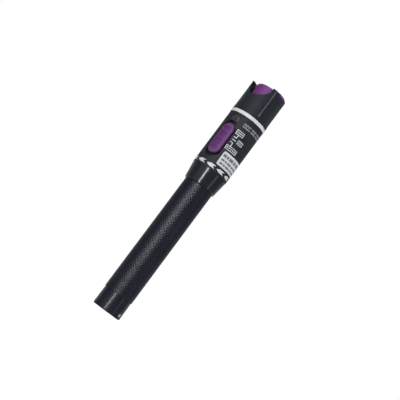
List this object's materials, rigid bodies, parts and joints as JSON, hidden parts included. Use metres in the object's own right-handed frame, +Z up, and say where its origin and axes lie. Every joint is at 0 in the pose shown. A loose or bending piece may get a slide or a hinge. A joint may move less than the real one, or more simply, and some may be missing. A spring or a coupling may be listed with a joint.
{
  "type": "visual fault locator",
  "caption": "Pen-shaped laser fibre tester with a knurled battery tube, thumb slide switch, ferrule port and a purple dust cap in a notched crown.",
  "frame": {"origin": "centre of the flat tail end, on the pen's axis", "axes": "+Z up the pen's axis to the ferrule port, -Y out through the slide switch, +X out through the lanyard hole"},
  "size_m": [0.0254, 0.0263, 0.1729],
  "materials": {
    "barrel_black": "black moulded plastic",
    "board_green": "solder mask",
    "cap_purple": "soft purple moulding",
    "cell_wrap": "plain printed wrap",
    "chip_black": "moulded package",
    "collar_gloss": "polished black",
    "contact_metal": "nickel-plated contact",
    "crown_black": "satin black moulding",
    "inner_plastic": "dark moulded plastic",
    "knob_purple": "purple moulding",
    "laser_brass": "turned brass",
    "lens_glass": "clear",
    "port_nickel": "nickel-plated brass",
    "printed_film": null,
    "ring_white": "plain white",
    "seal_rubber": "soft black rubber",
    "sleeve_ceramic": "white zirconia",
    "spring_steel": "bright spring steel",
    "tube_black": "black anodised, knurled grip"
  },
  "bodies": {
    "tube": {"battery_tube": "tube_black", "tail_spring": "spring_steel", "rear_cell": "cell_wrap", "front_cell": "cell_wrap", "seal_ring": "seal_rubber"},
    "head": {"collar": "collar_gloss", "ground_ring": "contact_metal", "contact_holder": "inner_plastic", "front_contact": "contact_metal", "head_barrel": "barrel_black", "label_film": "printed_film", "accent_ring": "ring_white", "crown_guard": "crown_black", "chassis": "inner_plastic", "board_screws": "spring_steel", "circuit_board": "board_green", "driver_chip": "chip_black", "boost_coil": "chip_black", "filter_capacitor": "contact_metal", "switch_body": "inner_plastic", "switch_cover": "contact_metal", "slider_bed": "barrel_black", "laser_housing": "laser_brass", "laser_diode": "contact_metal", "focus_lens": "lens_glass", "port_body": "port_nickel", "port_nut": "port_nickel", "ceramic_sleeve": "sleeve_ceramic"},
    "slider": {"slider_knob": "knob_purple", "slider_carriage": "inner_plastic", "switch_lever": "inner_plastic"},
    "cap": {"dust_cap": "cap_purple"}
  },
  "joints": [
    {"name": "head_lift", "type": "slide", "parent": "tube", "child": "head", "axis": [0, 0, 1], "range_m": [0, 0.02]},
    {"name": "mode_slide", "type": "slide", "parent": "head", "child": "slider", "axis": [0, 0, 1], "range_m": [-0.0019, 0.0019]},
    {"name": "cap_pull", "type": "slide", "parent": "head", "child": "cap", "axis": [0, 0, 1], "range_m": [0, 0.018]}
  ]
}
